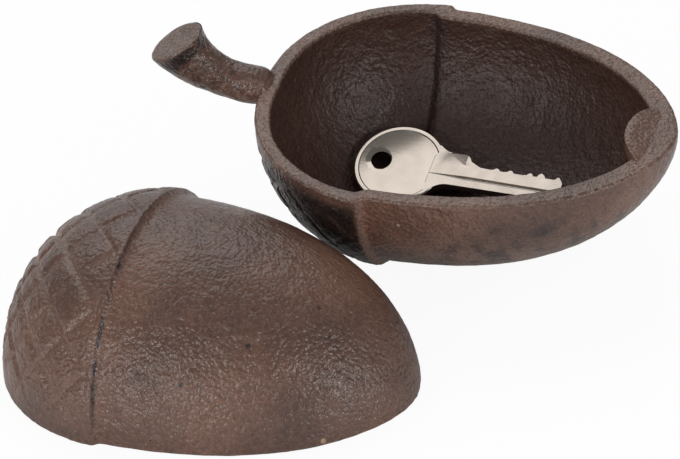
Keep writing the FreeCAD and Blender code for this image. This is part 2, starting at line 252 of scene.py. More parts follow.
def spinDome(inset, turns):
    # half a turn of the outline, raised a little on a straight band at the rim
    dome = drawOutline(inset)
    work(dome)
    editMode()
    selectAll()
    bpy.ops.mesh.spin(steps=turns, angle=math.pi, center=(0, 0, 0), axis=(1, 0, 0))
    mergeDoubles()
    mesh = bmesh.from_edit_mesh(dome.data)
    if min(v.co.z for v in mesh.verts) < -sameSpot:
        bpy.ops.transform.mirror(constraint_axis=(False, False, True), center_override=(0, 0, 0))
    top = (acorn["capRadius"] - inset) * mm
    lift = acorn["rimStraight"] * mm
    bpy.ops.transform.resize(value=(1, 1, (top - lift) / top), center_override=(0, 0, 0))
    bpy.ops.transform.translate(value=(0, 0, lift))
    bpy.ops.mesh.select_mode(type="EDGE")
    pick(dome, "EDGE", lambda e: e.is_boundary)
    bpy.ops.mesh.extrude_region_move(TRANSFORM_OT_translate={"value": (0, 0, -lift)})
    objectMode()
    return dome


def castHalf():
    # dome up: an outer and an inner skin, joined by a rim with rounded edges
    outer = spinDome(0, acorn["outerTurns"])
    inner = spinDome(acorn["wall"], acorn["innerTurns"])
    half = joinAll([outer, inner])
    editMode("EDGE")
    for side in (1, -1):  # one side of the rim at a time, so that its points pair up straight across
        pick(half, "EDGE", lambda e: e.is_boundary and max(v.co.z for v in e.verts) < sameSpot
             and side * (e.verts[0].co.y + e.verts[1].co.y) > 0)
        bpy.ops.mesh.bridge_edge_loops(number_cuts=acorn["rimCuts"], interpolation="LINEAR")
    mergeDoubles(outward=True)

    def rimCorner(edge):
        # between the level rim and an upright wall
        if len(edge.link_faces) != 2 or max(v.co.z for v in edge.verts) > sameSpot:
            return False
        one, two = edge.link_faces
        return abs(abs(one.normal.z) - abs(two.normal.z)) > 0.5

    pick(half, "EDGE", rimCorner)
    bpy.ops.mesh.bevel(offset=acorn["rimRound"] * mm, segments=acorn["rimSegments"], affect="EDGES",
                       clamp_overlap=False)
    objectMode()
    return half


# the cap's carved net, in mm and degrees
lattice = {
    "lines": 16, "slant": 47, "atLength": 55, "risingPhase": 5.7, "fallingPhase": 8.5,
    "grooveHalf": 1.6, "depth": 1.05, "pillow": 0.25,
    "pole": (9, 15), "lip": (0.6, 1.8), "rim": (3, 13),  # it sets in over these distances from each
    "filled": 0.35, "fillSize": 9, "fillNoise": (0, 0.5),  # sand has filled the grooves here and there
    "worn": 0.7, "wornFront": (-5, 10), "wornAlong": (12, 24),  # where the base's near flank is rubbed smooth
    "rows": 400, "leastRadius": 1, "nearPole": 0.6, "skin": 1.5, "slack": 0.1, "faintest": 0.002,
}


def netRows():
    # down the cap's outline: station, radius, distance from the pole, and how far a slanting line has turned
    rows, length, turn = [], acorn["capFlat"], 0.0
    points = pointsAlong(outlineCurves(0)[0], lattice["rows"])
    last = points[0]
    for point in points:
        gap = (point - last).length
        length += gap
        turn += math.tan(math.radians(lattice["slant"])) * gap / max(point.y, lattice["leastRadius"])
        rows.append((point.x, point.y, length, turn))
        last = point
    return rows


def placeOnCap(rows, stations, x, radius):
    # the outline's radius at a station, with the distance from the pole and the turn there
    number = min(max(bisect_left(stations, x) - 1, 0), len(rows) - 2)
    low, high = rows[number], rows[number + 1]
    share = min(1, max(0, (x - low[0]) / (high[0] - low[0])))
    outline, length, turn = (low[k] + (high[k] - low[k]) * share for k in (1, 2, 3))
    if x >= lattice["nearPole"]:
        return outline, length, turn
    if radius <= acorn["capFlat"]:
        return outline, radius, rows[0][3]
    # across the crown the radius tells the place better than the station does
    match = min(rows[:len(rows) // 2], key=lambda row: abs(row[1] - radius))
    return radius, match[2], match[3]


def netCut(angle, swing, radius):
    # share of the full depth where the two families of lines leave grooves and pillowed cells
    pitch = 360 / lattice["lines"]
    slant = math.cos(math.radians(lattice["slant"]))
    groove, nearest = 0.0, 1.0
    for phase, sign in ((lattice["fallingPhase"], -1), (lattice["risingPhase"], 1)):
        off = (angle - phase - sign * swing) / pitch
        gap = math.radians(abs(off - round(off)) * pitch) * radius * slant
        if gap < lattice["grooveHalf"]:
            groove = max(groove, 0.5 + 0.5 * math.cos(math.pi * gap / lattice["grooveHalf"]))
        halfCell = math.radians(pitch / 2) * radius * slant
        nearest = min(nearest, gap / (halfCell + 1e-6))
    return (1 - lattice["pillow"]) * groove + lattice["pillow"] * (1 - nearest) ** 2


def carveCap(half, worn=False):
    # the net, shallower towards the pole and the rim, stopped by a plain lip, and filled or worn in places
    rows = netRows()
    stations = [row[0] for row in rows]
    full = rows[-1][2]
    start = min(rows, key=lambda row: abs(row[2] - lattice["atLength"]))[3]
    values = [0.0] * len(half.data.vertices)
    for vertex in half.data.vertices:
        x, y, z = vertex.co / mm
        if not -lattice["slack"] <= x <= acorn["capLength"]:
            continue
        radius = math.hypot(y, z)
        outline, length, turn = placeOnCap(rows, stations, x, radius)
        if radius < outline - lattice["skin"]:
            continue
        strength = ease(radius, *lattice["pole"]) * ease(full - length, *lattice["lip"])
        strength *= ease(abs(z), *lattice["rim"])
        strength *= 1 - lattice["filled"] * ease(mottle(x, y, z, lattice["fillSize"]), *lattice["fillNoise"])
        if worn:
            strength *= 1 - lattice["worn"] * ease(-y, *lattice["wornFront"]) * ease(x, *lattice["wornAlong"])
        angle = math.degrees(math.atan2(z, y))
        values[vertex.index] = strength * netCut(angle, math.degrees(turn - start), radius)
    group = half.vertex_groups.new(name="carving")
    for number, value in enumerate(values):
        if value > lattice["faintest"]:
            group.add([number], value, "REPLACE")
    half.data.attributes.new("carved", "FLOAT", "POINT")
    half.data.attributes["carved"].data.foreach_set("value", values)
    carving = half.modifiers.new("carving", "DISPLACE")
    carving.vertex_group = "carving"
    carving.mid_level = 0
    carving.strength = -lattice["depth"] * mm
    applyAll(half)


def outlineRows(inset):
    return [point for poles in outlineCurves(inset) for point in pointsAlong(poles, acorn["sectionPoints"])]


# the wall in section, to tell the outside from the cavity, in mm and shares of the wall
wallSection = {
    "outer": outlineRows(0), "inner": outlineRows(acorn["wall"]),
    "endSlack": 0.6, "thinnest": 0.5, "from": 0.55, "blend": 0.4,
}
wallSection["stations"] = {side: [point.x for point in wallSection[side]] for side in ("outer", "inner")}


def outlineRadius(x, side):
    number = bisect_left(wallSection["stations"][side], x) - 1
    return wallSection[side][min(max(number, 0), len(wallSection[side]) - 2)].y


def insideShare(x, radius):
    # 1 on the cavity's wall and 0 on the outside, changing across the rim
    wall, slack = acorn["wall"], wallSection["endSlack"]
    if not wall - slack < x < acorn["length"] - wall + slack:
        return 0.0
    outside = outlineRadius(x, "outer")
    inner = outlineRadius(min(max(x, wall), acorn["length"] - wall - acorn["cavityTip"]), "inner")
    share = (outside - radius) / max(outside - inner, wallSection["thinnest"])
    return min(1.0, max(0.0, (share - wallSection["from"]) / wallSection["blend"]))


def markCasting(piece, rule):
    # keeps each point's place on the acorn's own axis, and how pale, dark, rusty or deep in the cavity it is.
    # Pale and dark hold painted highlights and painted shade as well as wear and stains, and the cavity's
    # share lays a darker patina with painted shade.
    places = [0.0] * (3 * len(piece.data.vertices))
    piece.data.vertices.foreach_get("co", places)
    marks, patinaAndShadeShare = [], []
    for vertex in piece.data.vertices:
        *shades, inside = rule(*(vertex.co / mm))
        marks += shades
        patinaAndShadeShare.append(inside)
    for name, kind, values in (("castPlace", "FLOAT_VECTOR", places), ("marks", "FLOAT_VECTOR", marks),
                               ("cavity", "FLOAT", patinaAndShadeShare)):
        piece.data.attributes.new(name, kind, "POINT")
        piece.data.attributes[name].data.foreach_set("value" if kind == "FLOAT" else "vector", values)


# wear, rust and smut on the halves, with painted highlights on the rim and the step's ridge, painted bounce
# light low on the base's wall, and painted shade in the step's corners, in the cavity and under the base's
# cap.
# Pairs are the mm over which a mark sets in or off: past the cap's edge, up or down from the rim, or towards
# the front. A pair named noise holds two levels of it. Single numbers are shares, unless they are named as a
# middle, a half width or a size in mm.
halfMarks = {
    "rim": (0.2, 1.3), "rimPale": 0.6,
    "ridge": 0.35, "ridgeOn": (0.5, 1.2), "ridgeOff": (1.4, 3),
    "rustOn": (0.3, 1.2), "rustOff": (3.5, 6), "baseRust": 2.5,
    "lineMiddle": 0.75, "lineHalf": 0.45, "lineHeight": (1, 16), "lineFront": (-5, 22),
    "lineLeast": 0.3, "lineBreak": 0.9, "lineSize": 3, "lineNoise": (-0.35, 0.3),
    "valley": 0.5, "valleyMiddle": -0.8, "valleyHalf": 2.4,
    # flank is a painted shadow under the base's cap at the front
    "flankDepth": (1.2, 5), "flankOff": (-1, 0.8), "flankFront": (5, 20), "flankLine": 0.8,
    "smut": 0.8, "smutOn": (14, 22), "smutFront": (10, 20), "smutDepth": (4, 12), "smutNoise": (0.05, 0.7),
    "smutSize": 7, "smutStreak": (2, 9, 9),
    # the base's worn mark is painted bounce light from the floor: paler low on the nut's wall
    "worn": 0.9, "floorLightDepth": (14, 28), "floorLightOn": (0, 4),
}


def shellMarks(x, y, z):
    # painted highlights along the rim and the step's ridge, rusty in the step's corner, with painted shade
    # there and in the cavity's valley at its inner step
    past = x - acorn["capLength"]
    inside = insideShare(x, math.hypot(y, z))
    rim = 1 - ease(abs(z), *halfMarks["rim"])
    rust = band(past, halfMarks["rustOn"], halfMarks["rustOff"]) * (1 - inside)
    # painted highlight on the step's ridge, where its fillet takes the light
    ridge = halfMarks["ridge"] * band(past, halfMarks["ridgeOn"], halfMarks["ridgeOff"]) * (1 - inside)
    # painted shade: a dark line under the cap's edge in the step's corner, at the front
    line = bell(past, halfMarks["lineMiddle"], halfMarks["lineHalf"]) * (1 - inside)
    line *= ease(abs(z), *halfMarks["lineHeight"]) * ease(-y, *halfMarks["lineFront"])
    broken = ease(mottle(x, y, z, halfMarks["lineSize"]), *halfMarks["lineNoise"])
    line *= halfMarks["lineLeast"] + halfMarks["lineBreak"] * broken
    # painted shade: a dark valley along the cavity's inner step, below the rim
    valley = bell(past, halfMarks["valleyMiddle"], halfMarks["valleyHalf"]) * inside * (1 - rim)
    # painted highlight along the rim's top and rounded edges
    rimPale = halfMarks["rimPale"] * rim
    return max(rimPale, ridge), max(line, halfMarks["valley"] * valley), rust, inside * (1 - rimPale)


def baseMarks(x, y, z):
    # as on both halves, with a painted shadow, nearly black, on the cap's underside at the front flank, smut
    # streaks on the front wall, and painted bounce light, paler low on the nut's wall
    pale, black, rust, inside = shellMarks(x, y, z)
    past = x - acorn["capLength"]
    front = ease(-y, *halfMarks["flankFront"])
    # painted shadow, nearly black, under the cap at the front flank
    flank = ease(-z, *halfMarks["flankDepth"]) * (1 - ease(past, *halfMarks["flankOff"])) * front
    smut = ease(past, *halfMarks["smutOn"]) * ease(-y, *halfMarks["smutFront"])
    smut *= ease(-z, *halfMarks["smutDepth"])
    streak = noise.noise(Vector([place / size for place, size in zip((x, y, z), halfMarks["smutStreak"])]))
    smut *= ease(streak + mottle(x, y, z, halfMarks["smutSize"]), *halfMarks["smutNoise"])
    # painted bounce light from the floor, paler low on the nut's wall outside the cavity
    worn = halfMarks["worn"] * ease(-z, *halfMarks["floorLightDepth"]) * (1 - inside)
    worn *= ease(past, *halfMarks["floorLightOn"])
    # at the front the painted shade line gives way to the painted flank shadow
    black *= inside + (1 - inside) * (1 - halfMarks["flankLine"] * front)
    # painted shadow plus smut stains, on the outside only
    shadeAndSmut = (flank + halfMarks["smut"] * smut) * (1 - inside)
    return max(pale, worn), max(black, shadeAndSmut), halfMarks["baseRust"] * rust, inside


def leanEdge(half, angle):
    # tips the cap's edge over a little, as the pattern's maker left it, and leaves the cavity alone
    edge = acorn["capLength"] + acorn["stepRun"] / 2
    for vertex in half.data.vertices:
        x, y, z = vertex.co / mm
        share = bell(x, edge, acorn["leanReach"]) * (1 - insideShare(x, math.hypot(y, z)))
        vertex.co.x += share * vertex.co.y * math.tan(math.radians(angle))


def finishHalf(half, rule, lean, worn=False):
    carveCap(half, worn)
    markCasting(half, rule)
    roughen(half, acorn["unevenness"], acorn["unevenSize"])
    roughen(half, acorn["ripple"], acorn["rippleSize"])
    leanEdge(half, lean)


clearSelection()
for name in ("Cube", "Light", "Camera"):
    if name in bpy.data.objects:
        bpy.data.objects.remove(bpy.data.objects[name])

lidHalf = castHalf()
print("half cast:", len(lidHalf.data.vertices), "points")

# the base is the same casting turned over
work(lidHalf)
bpy.ops.object.duplicate(linked=False)
baseHalf = bpy.context.object
editMode()
selectAll()
bpy.ops.transform.rotate(value=math.pi, orient_axis="X", center_override=(0, 0, 0))
objectMode()
finishHalf(baseHalf, baseMarks, acorn["baseLean"], worn=True)
print("base carved")

# the lid's notch for the stem's root, in mm
stemNotch = {"radius": 5.5, "reach": 9, "sides": 72}
clearSelection()
bpy.ops.mesh.primitive_cylinder_add(
    vertices=stemNotch["sides"], radius=stemNotch["radius"] * mm, depth=2 * stemNotch["reach"] * mm,
    location=(0, 0, 0), rotation=(0, math.pi / 2, 0))
cutWith(lidHalf, bpy.context.object, solver="MANIFOLD")
finishHalf(lidHalf, shellMarks, acorn["lidLean"])
print("lid carved:", len(lidHalf.data.vertices), "points")

# the stem, a bent bar cast with the base, in mm and degrees
stem = {
    "rootRadius": 5, "swell": 0.3, "swellRun": 3, "endRadius": 8.2, "flare": 1.9,
    "setBack": 4.0, "run": 7, "bend": 20, "turn": 60,
    "droop": 1.4, "droopAlong": (-16, -1.5),  # it sinks below the rim's plane, over this stretch of X
    "dressed": 0.93, "dressedAlong": (-0.5, 3.5),  # its back is filed down to the rim, over this stretch
    "sides": 72, "straightRings": 12, "bendRings": 60, "endRound": 0.9, "endSegments": 6, "endInsets": 6,
    "unevenness": 0.35, "unevenSize": 5,
}


def makeStem():
    # a disc at the root, drawn straight out and spun round the bend, with its rings widened towards the end
    clearSelection()
    bpy.ops.mesh.primitive_circle_add(
        vertices=stem["sides"], radius=stem["rootRadius"] * mm, fill_type="NGON",
        location=(stem["setBack"] * mm, 0, 0), rotation=(0, math.pi / 2, 0))
    bakePlace()
    bar = bpy.context.object
    editMode("FACE")
    selectAll()
    stride = (stem["setBack"] + stem["run"]) / stem["straightRings"]
    for step in range(stem["straightRings"]):
        bpy.ops.mesh.extrude_region_move(TRANSFORM_OT_translate={"value": (-stride * mm, 0, 0)})
    centre = Vector((-stem["run"], 0, stem["bend"])) * mm
    turn = math.radians(stem["turn"])
    bpy.ops.mesh.spin(steps=stem["bendRings"], angle=turn, center=centre, axis=(0, -1, 0))
    objectMode()
    grown = stem["rootRadius"] + stem["swell"]
    for vertex in bar.data.vertices:
        arm = vertex.co - centre
        x = vertex.co.x / mm
        if vertex.co.x < centre.x - sameSpot:
            turned = math.atan2(-arm.x, -arm.z)
            share = max(0, turned / turn)
            middle = centre + Vector((-math.sin(turned), 0, -math.cos(turned))) * stem["bend"] * mm
            wide = (grown + (stem["endRadius"] - grown) * share ** stem["flare"]) / stem["rootRadius"]
            vertex.co = middle + (vertex.co - middle) * wide
        else:
            wide = 1 + stem["swell"] / stem["rootRadius"] * ease(-x, 0, stem["swellRun"])
            vertex.co.y *= wide
            vertex.co.z *= wide
            if vertex.co.z > 0:
                vertex.co.z *= 1 - stem["dressed"] * ease(x, *stem["dressedAlong"])
    for vertex in bar.data.vertices:
        vertex.co.z -= stem["droop"] * ease(vertex.co.x / mm, *stem["droopAlong"]) * mm
    editMode("FACE")
    mergeDoubles(outward=True)
    bpy.ops.mesh.select_mode(type="EDGE")
    pick(bar, "EDGE", lambda e: len(e.link_faces) == 2 and max(len(f.verts) for f in e.link_faces) > 4
         and min(v.co.x for v in e.verts) < centre.x)
    bpy.ops.mesh.bevel(offset=stem["endRound"] * mm, segments=stem["endSegments"], affect="EDGES")
    bpy.ops.mesh.select_mode(type="FACE")
    pick(bar, "FACE", lambda f: len(f.verts) > 4 and f.calc_center_median().x < centre.x)
    for ring in range(stem["endInsets"]):  # rings on the sawn end, so that it can be uneven too
        bpy.ops.mesh.inset(thickness=stem["endRadius"] / (stem["endInsets"] + 2) * mm)
    objectMode()
    roughen(bar, stem["unevenness"], stem["unevenSize"])
    roughen(bar, acorn["ripple"], acorn["rippleSize"])
    return bar


# marks on the stem. Pairs are mm back from its sawn end, or two levels of the noise.
stemFinish = {
    "pale": 0.5, "paleOff": (0.3, 1.2),
    "black": 1.6, "blackOn": (0.2, 0.8), "blackOff": (2, 7), "blackLevel": 0.7, "blackSize": 4,
    "flecks": 0.5, "fleckSize": 1.6, "fleckNoise": (0.0, 0.45),
    "worn": 0.7, "wornSize": 1.3, "wornNoise": (0.05, 0.4), "apart": 50, "rust": 0.2, "farBack": 40,
}


def stemMarks(x, y, z):
    # the sawn end is greyer, and a painted shadow lies black in a band behind its edge
    turned = math.atan2(-(x + stem["run"]), -(z - stem["bend"]))
    left = stemFinish["farBack"]
    if x < -stem["run"]:
        left = (math.radians(stem["turn"]) - turned) * stem["bend"]
    pale = 1 - ease(left, *stemFinish["paleOff"])
    # painted shadow: a black band just behind the sawn end's edge, broken by noise
    black = stemFinish["black"] * band(left, stemFinish["blackOn"], stemFinish["blackOff"])
    black = min(1.0, black * (stemFinish["blackLevel"] + mottle(x, y, z, stemFinish["blackSize"])))
    flecks = stemFinish["flecks"] * ease(mottle(x, y, z, stemFinish["fleckSize"]), *stemFinish["fleckNoise"])
    rubbed = mottle(x + stemFinish["apart"], y, z, stemFinish["wornSize"])
    worn = stemFinish["worn"] * ease(rubbed, *stemFinish["wornNoise"])
    return (max(stemFinish["pale"] * pale, worn * (1 - black)), max(black, flecks * (1 - pale)),
            stemFinish["rust"], 0.0)


stemBar = makeStem()
markCasting(stemBar, stemMarks)
print("stem bent:", len(stemBar.data.vertices), "points")

# the locating lug at the nut's tip, in mm, with heights over the rim's plane
lug = {
    "radius": 15, "reach": 13.8, "overlap": 1.5, "rise": 1.9, "foot": 9, "footTop": -0.4, "intoWall": 2.3,
    "crest": 2, "pastWall": 0.4, "sides": 180, "trimTurns": 96, "planer": 40, "grain": 0.3, "softening": 8,
    "unevenness": 0.3, "unevenSize": 4,
    # pale is a painted highlight on the top; below the rim the lug takes the cavity's darker patina and
    # painted shade
    "pale": 0.5, "paleTop": (-1.5, 0), "rust": 0.2, "patinaAndShade": (-4, -0.5),
}


def spinSolid(inset):
    # a whole turn of the outline, as a tool to trim with
    solid = drawOutline(inset)
    work(solid)
    editMode()
    selectAll()
    bpy.ops.mesh.spin(steps=lug["trimTurns"], angle=2 * math.pi, center=(0, 0, 0), axis=(1, 0, 0))
    mergeDoubles(outward=True)
    objectMode()
    return solid


def lugPost(low, high, inset):
    # an upright round post, kept where it lies inside the outline
    clearSelection()
    bpy.ops.mesh.primitive_cylinder_add(
        vertices=lug["sides"], radius=lug["radius"] * mm, depth=(high - low) * mm,
        location=((acorn["length"] - lug["reach"] + lug["radius"]) * mm, 0, (high + low) / 2 * mm))
    bakePlace()
    post = bpy.context.object
    cutWith(post, spinSolid(inset), operation="INTERSECT")
    return post


def makeLug():
    # a tongue whose top falls away to the rim, on a foot that runs into the wall, melted into one soft lump
    tongue = lugPost(-lug["foot"], lug["rise"], acorn["wall"] - lug["overlap"])
    inner = acorn["length"] - lug["reach"] + lug["crest"]
    outer = outlineCurves(acorn["wall"])[2][3][0] + lug["pastWall"]
    fall = math.atan2(lug["rise"], outer - inner)
    normal = Vector((math.sin(fall), 0, math.cos(fall)))
    clearSelection()
    bpy.ops.mesh.primitive_cube_add(
        size=lug["planer"] * mm, rotation=(0, fall, 0),
        location=(Vector((inner, 0, lug["rise"])) + lug["planer"] / 2 * normal) * mm)
    cutWith(tongue, bpy.context.object)
    foot = lugPost(-lug["foot"], lug["footTop"], lug["intoWall"])
    lump = joinAll([tongue, foot])
    melt = lump.modifiers.new("melt", "REMESH")
    melt.mode = "VOXEL"
    melt.voxel_size = lug["grain"] * mm
    soften = lump.modifiers.new("soften", "SMOOTH")
    soften.factor = 0.5
    soften.iterations = lug["softening"]
    applyAll(lump)
    roughen(lump, lug["unevenness"], lug["unevenSize"])
    return lump


def lugMarks(x, y, z):
    # a painted highlight as pale as the rim's on top, and below the rim the cavity's darker patina with
    # painted shade
    return lug["pale"] * ease(z, *lug["paleTop"]), 0.0, lug["rust"], 1 - ease(z, *lug["patinaAndShade"])


locatingLug = makeLug()
markCasting(locatingLug, lugMarks)
print("lug trimmed:", len(locatingLug.data.vertices), "points")

# the house key lying flat with its bow's middle at the origin, in mm
key = {
    "thick": 2.3, "bowRadius": 12.7, "bowSides": 168, "bowEdge": 0.5, "bowSegments": 6,
    "rimWidth": 1.3, "rimSlope": 0.3, "panelDepth": 0.2, "dish": 0.5, "dishRings": 9,
    "hole": (-5.6, 0.8), "holeRadius": 2.8, "holeSides": 96, "holeFlare": 0.55, "flareDepth": 0.18,
    "bladeProud": 0.015,  # so that the rim round the panel doesn't show over the blade's root
    "lowerEdge": ((9.2, -6.2), (8.4, -8.4), (9.5, -7.75), (10.2, -6.8), (11.1, -5.75), (12, -5), (12.9, -4.5),
                  (13.9, -4.15), (15, -4), (30.7, -3.86), (43.7, -3.85), (45.3, -3.1), (46.3, -1.6)),
    "bittedEdge": ((46.3, 2), (45.6, 3.2), (44.8, 4.3), (44.2, 4.2), (43.4, 2.9), (41.2, 2.9), (40.5, 4.2),
                   (39.6, 4.8), (38.9, 4.2), (38.3, 3), (37.7, 3), (37.1, 4), (36.5, 4.3), (35.9, 3.9),
                   (35.1, 2.8), (32.2, 2.8), (31.5, 3.8), (30.9, 4.1), (30.3, 3.8), (29.6, 2.8), (28.2, 2.8),
                   (27.6, 3.8), (27, 4.1), (26.4, 3.8), (25.7, 2.8), (23.4, 2.9), (21.9, 3.6), (20.5, 4.3),
                   (19.3, 4.9), (19, 5.5), (18.7, 6), (18.1, 6.5), (17.3, 6.8), (15.6, 6.55), (13.7, 6.3),
                   (12.4, 6.5), (11.2, 7.1), (10.3, 7.75), (9.6, 8.2)),
    "panelEdge": ((9.5, 6.7), (9.9, 5.9), (9.2, 4.7), (8.9, -2.2), (8.9, -4.3)),
    "line": 0.24, "lineSkew": 0.02, "lineDepth": 0.35,
    "grooveFull": 19.2, "grooveRun": 12.4, "grooveMiddle": -1.2, "grooveRadius": 0.6, "grooveLift": 0.1,
    "grooveSides": 48, "groovePoint": 0.02, "grooveLength": 30,
    "shelfStart": 12.9, "shelfFull": 17.9, "shelfEdge": 2.95, "shelfDepth": 0.75, "shelfEnd": (50, 9),
    # tools stand out of the metal by over and overlap by a hair, and points are picked within aim
    "over": 1, "hair": 0.02, "aim": 0.1, "drill": 6,  # the drill's length
}


def drawPlate(corners, low, high):
    # one point led round the corners, filled and pulled up
    clearSelection()
    bpy.ops.mesh.primitive_plane_add(size=2 * mm, location=(0, 0, 0))
    plate = bpy.context.object
    editMode()
    selectAll()
    bpy.ops.mesh.merge(type="CENTER")
    selectAll()
    last = Vector((*corners[0], low))
    bpy.ops.transform.translate(value=last * mm)
    for corner in corners[1:]:
        point = Vector((*corner, low))
        bpy.ops.mesh.extrude_region_move(TRANSFORM_OT_translate={"value": (point - last) * mm})
        last = point
    selectAll()
    bpy.ops.mesh.edge_face_add()
    bpy.ops.mesh.extrude_region_move(TRANSFORM_OT_translate={"value": (0, 0, (high - low) * mm)})
    selectAll()
    bpy.ops.mesh.normals_make_consistent(inside=False)
    objectMode()
    return plate


def makeShelfTool():
    # a cutter for the blade's thinner edge, that rises to a point where it leaves the metal
    start, full, (end, far) = key["shelfStart"], key["shelfFull"], key["shelfEnd"]
    near, top, depth = key["shelfEdge"], key["thick"], key["shelfDepth"]
    corners = ((start, (near + far) / 2), (full, near), (end, near), (end, far), (full, far))
    tool = drawPlate(corners, top - depth, top + key["over"])
    work(tool)
    editMode()
    pick(tool, "VERT", lambda v: v.co.x < (start + key["aim"]) * mm and v.co.z < top * mm)
    bpy.ops.transform.translate(value=(0, 0, (depth + key["hair"]) * mm))
    pick(tool, "VERT", lambda v: abs(v.co.x - full * mm) < key["aim"] * mm and v.co.z < top * mm)
    bpy.ops.mesh.vert_connect_path()
    objectMode()
    return tool


def makeBow():
    # a disc with a raised rim, and a panel that is a little hollow on the stamped side
    thick = key["thick"]
    clearSelection()
    bpy.ops.mesh.primitive_cylinder_add(
        vertices=key["bowSides"], radius=key["bowRadius"] * mm, depth=thick * mm,
        location=(0, 0, thick / 2 * mm))
    bakePlace()
    bow = bpy.context.object
    editMode("EDGE")
    pick(bow, "EDGE", lambda e: len(e.link_faces) == 2 and max(len(f.verts) for f in e.link_faces) > 4)
    bpy.ops.mesh.bevel(offset=key["bowEdge"] * mm, segments=key["bowSegments"], affect="EDGES")
    bpy.ops.mesh.select_mode(type="FACE")
    pick(bow, "FACE", lambda f: len(f.verts) > 4)
    bpy.ops.mesh.inset(thickness=(key["rimWidth"] - key["bowEdge"]) * mm, use_individual=True)
    bpy.ops.mesh.inset(thickness=key["rimSlope"] * mm, depth=-key["panelDepth"] * mm, use_individual=True)
    panel = key["bowRadius"] - key["rimWidth"] - key["rimSlope"]
    for ring in range(key["dishRings"]):
        bpy.ops.mesh.inset(thickness=panel / (key["dishRings"] + 1) * mm, use_individual=True)
    objectMode()
    for vertex in bow.data.vertices:
        across = math.hypot(vertex.co.x, vertex.co.y) / mm / panel
        if across < 0.999 and vertex.co.z > thick / 2 * mm:  # within the panel's edge
            vertex.co.z -= key["dish"] * (1 - across * across) * mm
    return bow, panel


def drillHole(bow, panel):
    # a round hole, with a narrow bevel where it meets either face
    x, y = key["hole"]
    deep, over = key["flareDepth"], key["over"]
    widest = key["holeRadius"] + key["holeFlare"] * (deep + over) / deep
    hollow = key["dish"] * (1 - (math.hypot(x, y) / panel) ** 2)
    for side, face in ((1, key["thick"] - key["panelDepth"] - hollow), (-1, key["panelDepth"])):
        bpy.ops.mesh.primitive_cone_add(
            vertices=key["holeSides"], radius1=key["holeRadius"] * mm, radius2=widest * mm,
            depth=(deep + over) * mm, location=(x * mm, y * mm, (face + side * (over - deep) / 2) * mm),
            rotation=(0 if side > 0 else math.pi, 0, 0))
        cutWith(bow, bpy.context.object)
    bpy.ops.mesh.primitive_cylinder_add(
        vertices=key["holeSides"], radius=key["holeRadius"] * mm, depth=key["drill"] * mm,
        location=(x * mm, y * mm, key["thick"] / 2 * mm))
    cutWith(bow, bpy.context.object)


def millGroove(bow):
    # a round-bottomed groove along the blade, that tapers to a point towards the bow
    radius, run, length = key["grooveRadius"], key["grooveRun"], key["grooveLength"]
    full, middle, height = key["grooveFull"], key["grooveMiddle"], key["thick"] + key["grooveLift"]
    bpy.ops.mesh.primitive_cone_add(
        vertices=key["grooveSides"], radius1=radius * mm, radius2=key["groovePoint"] * mm, depth=run * mm,
        rotation=(0, -math.pi / 2, 0), location=((full - run / 2) * mm, middle * mm, height * mm))
    cutWith(bow, bpy.context.object)
    bpy.ops.mesh.primitive_cylinder_add(
        vertices=key["grooveSides"], radius=radius * mm, depth=(length + key["hair"]) * mm,
        rotation=(0, -math.pi / 2, 0), location=((full + length / 2) * mm, middle * mm, height * mm))
    cutWith(bow, bpy.context.object)


def makeKey():
    thick, proud = key["thick"], key["bladeProud"]
    bow, panel = makeBow()
    blade = drawPlate((*key["lowerEdge"], *key["bittedEdge"], *key["panelEdge"]), -proud, thick + proud)
    cutWith(bow, blade, operation="UNION")
    drillHole(bow, panel)
    millGroove(bow)
    line = key["panelEdge"][1:]
    scribed = (*line, *[(x - key["line"], y - key["lineSkew"]) for x, y in reversed(line)])
    cutWith(bow, drawPlate(scribed, thick - key["panelDepth"] - key["lineDepth"], thick + key["over"]))
    cutWith(bow, makeShelfTool())
    return bow


houseKey = makeKey()
print("key cut:", len(houseKey.data.vertices), "points")

# where the pieces lie on the floor, in mm, degrees and directions
basePlace = {"at": (-29.8555, 32.1196, 46.5931), "pitch": 3, "roll": 3.8}
lidPlace = {"at": (-84.2237, -27.5143, 0), "yaw": -7.25}
keyPlace = {"at": (2.7629, 44.4231, 13.6065), "along": (0.9974, -0.06321, -0.03447),
            "across": (0.07142, 0.92914, 0.36276)}
smoothUnder = {"key": 18, "casting": 35}  # edges that turn less than this many degrees are shaded smooth

baseMatrix = (Matrix.Translation(Vector(basePlace["at"]) * mm)
              @ Matrix.Rotation(math.radians(basePlace["pitch"]), 4, "Y")
              @ Matrix.Rotation(math.radians(basePlace["roll"]), 4, "X"))
lidMatrix = (Matrix.Translation(Vector(lidPlace["at"]) * mm)
             @ Matrix.Rotation(math.radians(lidPlace["yaw"]), 4, "Z"))
along, across = Vector(keyPlace["along"]).normalized(), Vector(keyPlace["across"]).normalized()
keyMatrix = Matrix((along, across, along.cross(across))).transposed().to_4x4()
keyMatrix.translation = Vector(keyPlace["at"]) * mm

for piece, place, name, body, node in (
        (baseHalf, baseMatrix, "baseCasting", "base", "base_half"),
        (lidHalf, lidMatrix, "lidCasting", "lid", "lid_half"),
        (stemBar, baseMatrix, "stem", "base", "base_half"),
        (locatingLug, baseMatrix, "locatingLug", "base", "base_half"),
        (houseKey, keyMatrix, "houseKey", "key", "house_key")):
    setDown(piece, place, name)
    smooth = smoothUnder["key" if piece is houseKey else "casting"]
    bpy.ops.object.shade_smooth_by_angle(angle=math.radians(smooth))
    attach(piece, body)
    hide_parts(node)
print("pieces set down")

# the camera, in mm and degrees: the direction it looks back along, its roll, and what it aims at
camera = {
    "azimuth": 18.909, "elevation": 34.21, "roll": 5.345, "distance": 2057.2, "aim": (-3.953, 7.457, 20.055),
    "right": 0.47, "up": -1.94, "lens": 403.5, "sensor": 36, "nearest": 100, "farthest": 20000,
}


